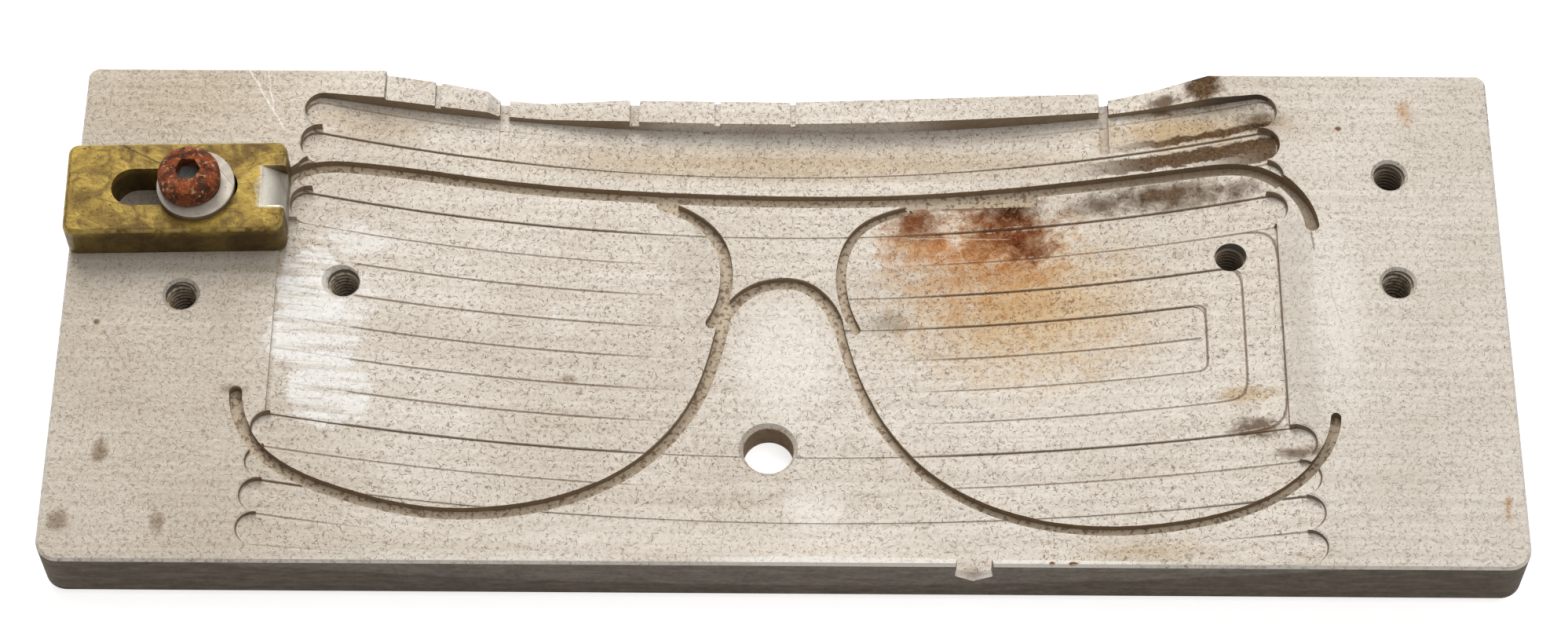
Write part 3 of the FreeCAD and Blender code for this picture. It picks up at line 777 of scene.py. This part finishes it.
@dataclass(frozen=True)
class BrassFinish:
    """Tarnished olive brass with bright worn edges and a silvery smear on the nose."""

    tarnish: Colour = (0.150, 0.090, 0.016)
    olive: Colour = (0.370, 0.255, 0.050)
    bright: Colour = (0.520, 0.400, 0.140)
    smudge: Colour = (0.115, 0.062, 0.030)
    silver: Colour = (0.460, 0.410, 0.300)
    # Pale silver of the nose recess, lifted well past the metal's own colour as painted light.
    lit_recess_silver: Colour = (0.860, 0.820, 0.720)
    speck: Colour = (0.045, 0.032, 0.018)
    shadow: Colour = (0.055, 0.032, 0.012)
    bar_y: float = 15.1
    nose_x: float = -69.8
    metal: float = 0.35
    gloss: float = 0.25
    bump_height: float = 0.00018

    def build(self, effects: Effects) -> Material:
        """Return the bar's material.

        Args:
            effects: The shared node groups.

        Returns:
            The material.
        """
        material, graph, shader, place, normal = start_material("bar_brass")
        facing = graph.axes(normal)[2]
        x, y, z = graph.axes(place)
        cloud = graph.noise(place, 0.22, 5.0, 0.62, 0.6)
        colour = graph.mix(graph.ramp(cloud, 0.36, 0.66), self.tarnish, self.olive)
        blotch = graph.noise(graph.stretch(place, (1.0, 1.0, 1.0), 0.8), 0.34, 4.0, 0.6, 1.2)
        colour = graph.mix(graph.ramp(blotch, 0.50, 0.66, 0.0, 0.62), colour, self.smudge)
        specks = graph.mask(effects.specks, Position=place, Scale=1.7, Cover=0.34)
        colour = graph.cover(colour, self.speck, specks, 0.75)
        edge = graph.mask(effects.edges, Normal=normal)
        rubbed = graph.ramp(graph.noise(place, 0.8, 3.0), 0.34, 0.58)
        colour = graph.cover(colour, self.bright, edge, rubbed, 0.7)
        scratch = graph.mask(effects.scratch, Position=graph.stretch(place, (1.0, 1.0, 1.0), 0.42),
                             Cover=0.28)
        colour = graph.cover(colour, self.bright, scratch, 0.35)
        for drawn in BAR_LINES:
            colour = add_line(graph, effects, place, cloud, colour, drawn)
        beside = graph.absolute(graph.minus(y, self.bar_y))
        nose = graph.times(graph.ramp(beside, 3.8, 2.9), graph.ramp(x, self.nose_x - 1.6, self.nose_x + 1.0))
        torn = graph.plus(nose, graph.times(graph.minus(blotch, 0.5), 1.6))
        nose = graph.times(graph.ramp(torn, 0.45, 0.7), graph.ramp(facing, 0.2, 0.45))
        colour = graph.cover(colour, self.silver, nose, 0.65)
        # The recess's sloped floor gets a pale silver: partly the bare metal there, partly painted light that
        # lifts it against the shade the slope gets.
        sunk = graph.times(graph.ramp(beside, 3.3, 3.0), graph.ramp(x, self.nose_x + 0.3, self.nose_x + 0.7))
        sunk = graph.times(sunk, graph.ramp(cloud, 0.34, 0.50, 0.45, 1.0))
        colour = graph.mix(sunk, colour, self.lit_recess_silver)
        low = graph.ramp(z, 15.2, 13.6, 0.0, 0.62)
        colour = graph.mix(low, colour, self.shadow)
        graph.fill(shader, Base_Color=colour, Roughness=graph.ramp(blotch, 0.3, 0.7, 0.34, 0.58),
                   Metallic=graph.ramp(specks, 0.0, 1.0, self.metal, 0.1), Specular_IOR_Level=self.gloss)
        grain = graph.noise(place, 2.0, 4.0, 0.6)
        height = graph.plus(graph.times(cloud, 1.2), graph.times(grain, 0.4))
        height = graph.minus(height, graph.times(graph.most(specks, scratch), 0.4))
        add_bump(graph, shader, height, self.bump_height)
        return material


@dataclass(frozen=True)
class SteelFinish:
    """Dull grey washer steel with faint turning marks, and painted shade on its rim."""

    steel: Colour = (0.610, 0.560, 0.480)
    shade: Colour = (0.490, 0.440, 0.370)
    speck: Colour = (0.120, 0.070, 0.040)
    scratch: Colour = (0.620, 0.590, 0.540)
    edge: Colour = (0.600, 0.570, 0.520)
    # Dark brown painted as shade on the washer's rim.
    rim_shade: Colour = (0.150, 0.095, 0.055)
    metal: float = 0.25
    bump_height: float = 0.00005

    def build(self, effects: Effects) -> Material:
        """Return the washer's material.

        Args:
            effects: The shared node groups.

        Returns:
            The material.
        """
        material, graph, shader, place, normal = start_material("washer_steel")
        cloud = graph.noise(place, 0.55, 5.0, 0.62, 0.4)
        colour = graph.mix(graph.ramp(cloud, 0.38, 0.64), self.shade, self.steel)
        specks = graph.mask(effects.specks, Position=place, Scale=2.2, Cover=0.35)
        colour = graph.cover(colour, self.speck, specks, 0.55)
        scratch = graph.mask(effects.scratch, Position=graph.stretch(place, (1.4, 1.4, 1.4), 0.9), Cover=0.33)
        colour = graph.cover(colour, self.scratch, scratch, 0.3)
        edge = graph.mask(effects.edges, Normal=normal)
        colour = graph.cover(colour, self.edge, edge, 0.3)
        facing = graph.axes(normal)[2]
        # Painted shade: the washer's standing rim gets a dark brown.
        rim_shade = graph.ramp(graph.absolute(facing), 0.5, 0.2)
        colour = graph.cover(colour, self.rim_shade, rim_shade, 0.85)
        rough = graph.ramp(cloud, 0.3, 0.7, 0.62, 0.50)
        graph.fill(shader, Base_Color=colour, Roughness=rough, Metallic=self.metal)
        add_bump(graph, shader, graph.plus(cloud, scratch), self.bump_height)
        return material


@dataclass(frozen=True)
class RustFinish:
    """Scaly red rust with pale flecks, on the worn socket screw."""

    red: Colour = (0.290, 0.064, 0.018)
    dark: Colour = (0.080, 0.026, 0.011)
    orange: Colour = (0.520, 0.165, 0.042)
    fleck: Colour = (0.620, 0.540, 0.400)
    socket_floor: Colour = (0.200, 0.215, 0.205)
    shank: Colour = (0.120, 0.100, 0.085)
    socket_floor_z: float = 17.9
    head_seat_z: float = 16.4
    screw_x: float = -78.5
    screw_y: float = 15.0
    gloss: float = 0.30
    bump_height: float = 0.00040

    def build(self, effects: Effects) -> Material:
        """Return the screw's material.

        Args:
            effects: The shared node groups.

        Returns:
            The material.
        """
        material, graph, shader, place, _ = start_material("screw_rust")
        x, y, z = graph.axes(place)
        cloud = graph.noise(place, 0.42, 5.0, 0.62, 1.0)
        scale = graph.noise(place, 1.3, 4.0, 0.6, 0.8)
        colour = graph.mix(graph.ramp(cloud, 0.40, 0.60), self.dark, self.red)
        colour = graph.mix(graph.ramp(scale, 0.50, 0.68, 0.0, 0.8), colour, self.orange)
        patchy = graph.ramp(graph.noise(place, 0.33, 2.0), 0.52, 0.60)
        fleck = graph.times(graph.ramp(scale, 0.56, 0.66), patchy)
        colour = graph.cover(colour, self.fleck, fleck, 0.9)
        squares = []
        for value, axis in ((x, self.screw_x), (y, self.screw_y)):
            offset = graph.minus(value, axis)
            squares.append(graph.times(offset, offset))
        reach = graph.math("SQRT", graph.plus(*squares))
        low = graph.ramp(z, self.socket_floor_z + 0.4, self.socket_floor_z + 0.1)
        floor = graph.times(graph.ramp(reach, 1.9, 1.6), low)
        colour = graph.mix(floor, colour, self.socket_floor)
        shank = graph.ramp(z, self.head_seat_z, self.head_seat_z - 0.2)
        colour = graph.cover(colour, self.shank, shank, 0.7)
        graph.fill(shader, Base_Color=colour, Roughness=graph.ramp(scale, 0.35, 0.65, 0.85, 0.60),
                   Specular_IOR_Level=self.gloss, Metallic=graph.times(floor, 0.5))
        height = graph.plus(graph.times(cloud, 1.6), graph.times(scale, 0.9))
        add_bump(graph, shader, height, self.bump_height)
        return material


@dataclass(frozen=True)
class FloorFinish:
    """The floor's plain dull white. Its glow shows to the camera and in reflections, and lights nothing."""

    colour: Colour = (0.86, 0.86, 0.86)
    roughness: float = 0.9
    glow: float = 0.68

    def build(self) -> Material:
        """Return the floor's material: white to the camera, with the object's shadow kept."""
        material = bpy.data.materials.new("floor_white")
        material.use_nodes = True
        graph = Graph(material.node_tree)
        shader = graph.find("BSDF_PRINCIPLED")
        graph.fill(shader, Base_Color=self.colour, Roughness=self.roughness)
        path = graph.node("ShaderNodeLightPath").outputs
        seen = graph.most(path["Is Glossy Ray"], path["Is Transmission Ray"])
        seen = graph.most(path["Is Camera Ray"], seen)
        white = graph.fill(graph.node("ShaderNodeEmission"), Strength=graph.times(seen, self.glow))
        both = graph.node("ShaderNodeAddShader")
        graph.feed(both.inputs[0], shader.outputs[0])
        graph.feed(both.inputs[1], white.outputs[0])
        graph.feed(graph.find("OUTPUT_MATERIAL").inputs["Surface"], both.outputs[0])
        return material


def start_material(name: str) -> tuple:
    """Start a procedural material.

    Args:
        name: The material's name.

    Returns:
        The material, its graph, its shader, the position in millimetres and the surface normal.
    """
    material = bpy.data.materials.new(name)
    material.use_nodes = True
    graph = Graph(material.node_tree)
    shader = graph.find("BSDF_PRINCIPLED")
    coordinates = graph.node("ShaderNodeTexCoord")
    place = graph.stretch(coordinates.outputs["Object"], (1 / MM, 1 / MM, 1 / MM))
    return material, graph, shader, place, coordinates.outputs["Normal"]


def add_line(graph: Graph, effects: Effects, place: Socket, wave: Socket, colour: Socket,
             line: Line) -> Socket:
    """Draw one straight scratch.

    Args:
        graph: The material's graph.
        effects: The shared node groups.
        place: The position in millimetres.
        wave: The noise that sways the scratch.
        colour: The colour underneath.
        line: The scratch.

    Returns:
        The new colour.
    """
    mask = graph.mask(effects.mark, Position=place, Wave=wave, Start_X=line.x, Start_Y=line.y,
                      Turn=math.radians(line.turn), Length=line.length, Width=line.width)
    return graph.cover(colour, line.colour, mask, line.strength)


def add_bump(graph: Graph, shader: Node, height: Socket, depth: float) -> None:
    """Feed a height pattern to the shader's normal.

    Args:
        graph: The material's graph.
        shader: The Principled shader.
        height: The height pattern.
        depth: The pattern's depth in metres.
    """
    bump = graph.fill(graph.node("ShaderNodeBump"), Strength=1.0, Distance=depth, Height=height)
    graph.feed(shader.inputs["Normal"], bump.outputs["Normal"])


def mesh_piece(name: str, points: list[Vector], faces: list[tuple[int, ...]], material: Material,
               smooth: bool = True) -> bpy.types.Object:
    """Make one mesh object in the row frame.

    Args:
        name: The piece's name.
        points: Its corners in metres.
        faces: Corner numbers of each face.
        material: Its finish.
        smooth: Whether it is shaded smooth.

    Returns:
        The new object.
    """
    mesh = bpy.data.meshes.new(name)
    mesh.from_pydata(points, [], faces)
    mesh.validate()
    mesh.polygons.foreach_set("use_smooth", [smooth] * len(mesh.polygons))
    mesh.materials.append(material)
    made = bpy.data.objects.new(name, mesh)
    bpy.context.scene.collection.objects.link(made)
    return made


@dataclass
class TappedHole:
    """The thread turns in one tapped hole of the plate."""

    name: str
    x: float
    y: float
    side: Side
    radius: float = 2.1
    crest: float = 0.26
    pitch: float = 0.8
    chamfer: float = 0.5
    steps: int = 40
    fade_steps: int = 8
    wall_overlap: float = 0.03
    half_root: float = 0.30
    half_crest: float = 0.05
    milling: Milling = field(default_factory=Milling)

    def mouth(self) -> float:
        """Return the height of the hole's mouth in millimetres."""
        sizes = self.milling
        if self.side is Side.PLATE_TOP:
            return sizes.thickness
        return sizes.thickness - sizes.bed_depth + self.x**2 / (2 * sizes.bed_radius)

    def build(self, finish: Material) -> bpy.types.Object:
        """Return the helical ridge that stands in from the hole's wall.

        Args:
            finish: The plate's material.

        Returns:
            The thread's mesh object.
        """
        low = self.pitch
        high = self.mouth() - self.chamfer - self.pitch / 2
        turns = (high - low) / self.pitch
        count = int(turns * self.steps)
        points = []
        for number in range(count + 1):
            angle = 2 * math.pi * number / self.steps
            height = low + self.pitch * number / self.steps
            fade = min(1.0, number / self.fade_steps, (count - number) / self.fade_steps)
            root, crest = self.radius + self.wall_overlap, self.radius - self.crest * fade
            profile = (
                (root, -self.half_root), (crest, -self.half_crest), (crest, self.half_crest), (root,
                                                                                               self.half_root)
            )
            for reach, rise in profile:
                plan = self.x + reach * math.cos(angle), self.y + reach * math.sin(angle)
                points.append(Vector((*plan, height + rise)) * MM)
        faces = []
        rows = 4
        for number in range(count):
            for side in range(rows):
                after = (side + 1) % rows
                first, second = number * rows, (number + 1) * rows
                faces.append((first + side, second + side, second + after, first + after))
        faces.append(tuple(range(rows)))
        faces.append(tuple(count * rows + side for side in reversed(range(rows))))
        return mesh_piece("thread_" + self.name, points, faces, finish)


HOLES = [
    TappedHole("left_plate_hole", -79.5, 1.7, Side.PLATE_TOP),
    TappedHole("right_back_hole", 80.9, 21.1, Side.PLATE_TOP),
    TappedHole("right_front_hole", 80.9, 4.5, Side.PLATE_TOP),
    TappedHole("left_bed_hole", -58.5, 4.9, Side.BED),
    TappedHole("right_bed_hole", 59.2, 9.4, Side.BED),
]


@dataclass
class Plate:
    """The milled plate with the thread turns in its holes."""

    finish: PlateFinish = field(default_factory=PlateFinish)
    holes: list[TappedHole] = field(default_factory=lambda: HOLES)

    def dress(self, effects: Effects) -> None:
        """Give the plate its finish and add its threads.

        Args:
            effects: The shared node groups.
        """
        material = self.finish.build(effects)
        paint_node("base_plate", material)
        for hole in self.holes:
            thread = hole.build(material)
            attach(thread, "plate")
            log.info("%s: %d faces", thread.name, len(thread.data.polygons))


@dataclass
class Clamp:
    """The bar, the washer and the screw."""

    brass: BrassFinish = field(default_factory=BrassFinish)
    steel: SteelFinish = field(default_factory=SteelFinish)
    rust: RustFinish = field(default_factory=RustFinish)

    def dress(self, effects: Effects) -> None:
        """Give each piece of the clamp its finish.

        Args:
            effects: The shared node groups.
        """
        paint_node("clamp_bar", self.brass.build(effects))
        paint_node("clamp_washer", self.steel.build(effects))
        paint_node("clamp_screw", self.rust.build(effects))


def paint_node(name: str, material: Material) -> None:
    """Assign a finish to a node of the frame.

    Args:
        name: The node's name.
        material: Its finish.
    """
    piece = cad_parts[name]
    piece.data.materials.clear()
    piece.data.materials.append(material)
    log.info("%s: %s", name, material.name)


@dataclass(frozen=True)
class Lamp:
    """One square area lamp: where it hangs, its side in metres, its watts and its colour."""

    name: str
    place: tuple[float, float, float]
    size: float
    power: float
    colour: Colour


LAMPS = (
    Lamp("back_light", (-0.15, 0.62, 0.62), 0.55, 5.2, (1.0, 0.985, 0.96)),
    Lamp("top_light", (0.30, 0.05, 0.85), 0.7, 2.6, (1.0, 0.99, 0.975)),
)


@dataclass
class Stage:
    """The pale floor, the soft studio light and the camera."""

    image_width: int = 1997
    focal_pixels: float = 4823.0
    distance: float = 0.4975
    elevation: float = 60.42
    azimuth: float = 0.40
    target: Vector = field(default_factory=lambda: Vector((-0.0001, 0.0, 0.010)))
    sensor: float = 36.0
    floor_size: float = 6.0
    floor_drop: float = 0.00002
    floor: FloorFinish = field(default_factory=FloorFinish)
    room_colour: tuple[float, float, float, float] = (1.0, 0.985, 0.965, 1.0)
    room_strength: float = 0.31

    def build(self) -> None:
        """Build all of it."""
        self.add_floor()
        self.add_world()
        self.add_lamps()
        self.add_camera()
        bpy.context.scene.view_settings.view_transform = "Standard"

    def add_floor(self) -> None:
        """Add the floor under the plate."""
        half = self.floor_size / 2
        plan = ((-half, -half), (half, -half), (half, half), (-half, half))
        corners = [Vector((x, y, -self.floor_drop)) for x, y in plan]
        mesh_piece("floor", corners, [(0, 1, 2, 3)], self.floor.build(), smooth=False)

    def add_world(self) -> None:
        """Add the room's even light, white where the camera sees it."""
        world = bpy.data.worlds.new("studio")
        bpy.context.scene.world = world
        world.use_nodes = True
        graph = Graph(world.node_tree)
        room = graph.fill(graph.find("BACKGROUND"), Color=self.room_colour, Strength=self.room_strength)
        seen_white = graph.fill(graph.node("ShaderNodeBackground"), Strength=1.0)
        path = graph.node("ShaderNodeLightPath").outputs
        both = graph.node("ShaderNodeMixShader")
        graph.feed(both.inputs[0], graph.most(path["Is Camera Ray"], path["Is Transmission Ray"]))
        graph.feed(both.inputs[1], room.outputs[0])
        graph.feed(both.inputs[2], seen_white.outputs[0])
        graph.feed(graph.find("OUTPUT_WORLD").inputs["Surface"], both.outputs[0])

    def add_lamps(self) -> None:
        """Add the soft area lamps, each turned to the plate."""
        for spec in LAMPS:
            lamp = bpy.data.lights.new(spec.name, "AREA")
            lamp.size, lamp.energy, lamp.color = spec.size, spec.power, spec.colour
            made = bpy.data.objects.new(spec.name, lamp)
            made.location = Vector(spec.place)
            made.rotation_euler = (self.target - made.location).to_track_quat("-Z", "Y").to_euler()
            bpy.context.scene.collection.objects.link(made)

    def add_camera(self) -> None:
        """Add the camera at the photograph's angle."""
        lens = bpy.data.cameras.new("camera")
        lens.sensor_width = self.sensor
        lens.lens = self.focal_pixels * self.sensor / self.image_width
        lens.clip_start = 0.01
        elevation, azimuth = math.radians(self.elevation), math.radians(self.azimuth)
        level = math.cos(elevation)
        back = Vector((math.sin(azimuth) * level, -math.cos(azimuth) * level, math.sin(elevation)))
        camera = bpy.data.objects.new("camera", lens)
        camera.location = self.target + back * self.distance
        camera.rotation_euler = back.to_track_quat("Z", "Y").to_euler()
        bpy.context.scene.collection.objects.link(camera)
        bpy.context.scene.camera = camera


def main() -> None:
    """Build the effects, dress the jig and set the stage."""
    effects = Effects()
    effects.build()
    Plate().dress(effects)
    Clamp().dress(effects)
    Stage().build()


if __name__ == "__main__":
    main()
